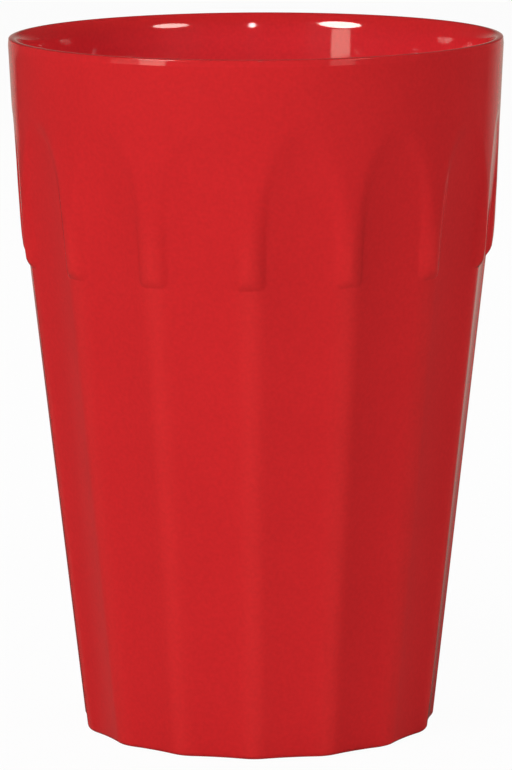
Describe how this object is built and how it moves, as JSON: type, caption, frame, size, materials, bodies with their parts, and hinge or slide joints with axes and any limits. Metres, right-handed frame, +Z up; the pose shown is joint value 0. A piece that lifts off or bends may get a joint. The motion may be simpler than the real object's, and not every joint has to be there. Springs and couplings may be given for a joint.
{
  "type": "fluted plastic tumbler",
  "caption": "Reusable moulded plastic drinking cup with a fluted body, arched ribs below a plain band, a rounded lip and a smooth round inside",
  "frame": {"origin": "centre of the foot ring, on the plane that the cup stands on", "axes": "+Z up along the cup's axis towards its mouth, -Y through the middle of one rib, +X to the right seen from -Y"},
  "size_m": [0.0752, 0.0752, 0.1064],
  "materials": {
    "red_plastic": "glossy opaque moulded plastic, coloured red right through"
  },
  "bodies": {
    "root": {"cup": "red_plastic"}
  },
  "joints": []
}
